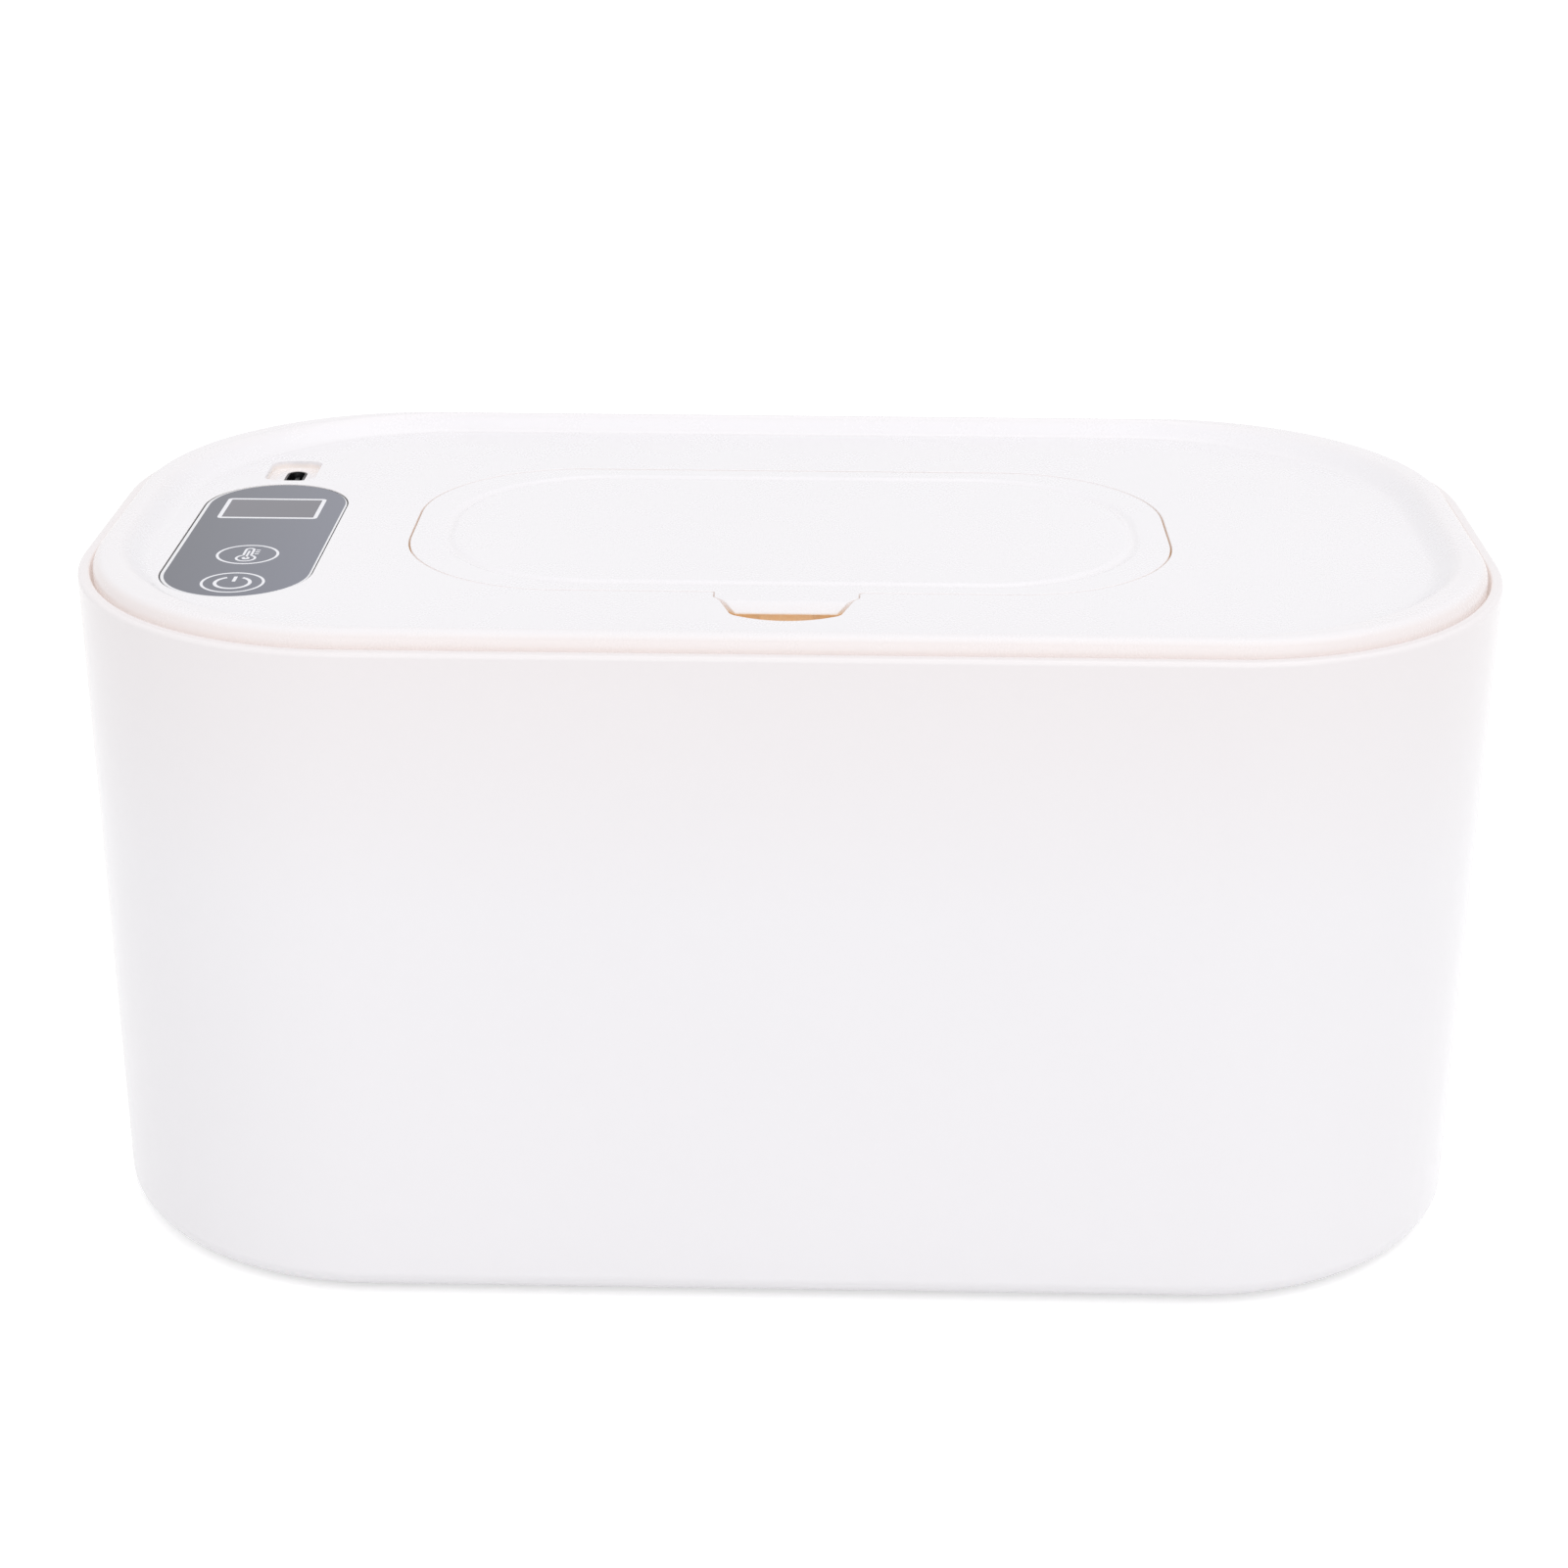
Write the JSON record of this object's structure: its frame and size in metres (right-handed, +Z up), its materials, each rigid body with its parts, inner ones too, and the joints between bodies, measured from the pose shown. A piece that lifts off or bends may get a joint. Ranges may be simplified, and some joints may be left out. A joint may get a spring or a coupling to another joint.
{
  "type": "baby wipe warmer",
  "caption": "Rounded tub with a lift-off heated lid, a touch control strip and a dispensing flap on a concealed hinge, for keeping wet wipes warm.",
  "frame": {"origin": "middle of the footprint, on the surface that the feet stand on", "axes": "+X to the right along the long side as seen from the front, -Y to the front with the finger tab, +Z up"},
  "size_m": [0.215, 0.12, 0.1067],
  "materials": {
    "case_plastic": "smooth white, satin to gloss",
    "lid_plastic": "smooth white, satin to gloss",
    "liner_plastic": "matt white",
    "silicone": "soft translucent white",
    "foot_rubber": "matt light grey",
    "film_print": "glossy blue grey film with light prints",
    "display_dark": "smooth dark grey",
    "spring_steel": "bright plated wire",
    "steel": "satin steel",
    "board_green": "green solder mask",
    "tongue_black": "matt black",
    "plate_aluminium": "mill finish",
    "heater_amber": "amber film",
    "felt": "white felt",
    "sensor_black": "black bead",
    "lead_red": "red insulation",
    "lead_white": "white insulation"
  },
  "bodies": {
    "tub": {"case_shell": "case_plastic", "rubber_feet": "foot_rubber"},
    "lid": {"lid_cover": "lid_plastic", "lid_liner": "liner_plastic", "lid_gasket": "silicone", "hinge_pins": "steel", "control_film": "film_print", "display_module": "display_dark", "touch_springs": "spring_steel", "control_board": "board_green", "power_port": "steel", "port_tongue": "tongue_black", "heater_plate": "plate_aluminium", "heater_film": "heater_amber", "insulation_sheet": "felt", "temperature_sensor": "sensor_black", "thermal_fuse": "steel", "heater_leads": "lead_red", "sensor_leads": "lead_white", "liner_screws": "steel", "board_screws": "steel"},
    "flap": {"flap_cover": "lid_plastic", "flap_liner": "liner_plastic", "flap_seal": "silicone"}
  },
  "joints": [
    {"name": "lid_lift", "type": "slide", "parent": "tub", "child": "lid", "axis": [0, 0, 1], "range_m": [0, 0.06]},
    {"name": "flap_hinge", "type": "hinge", "parent": "lid", "child": "flap", "pos_m": [0, 0.0379, 0.0996], "axis": [-1, 0, 0], "range_deg": [0, 105]}
  ]
}
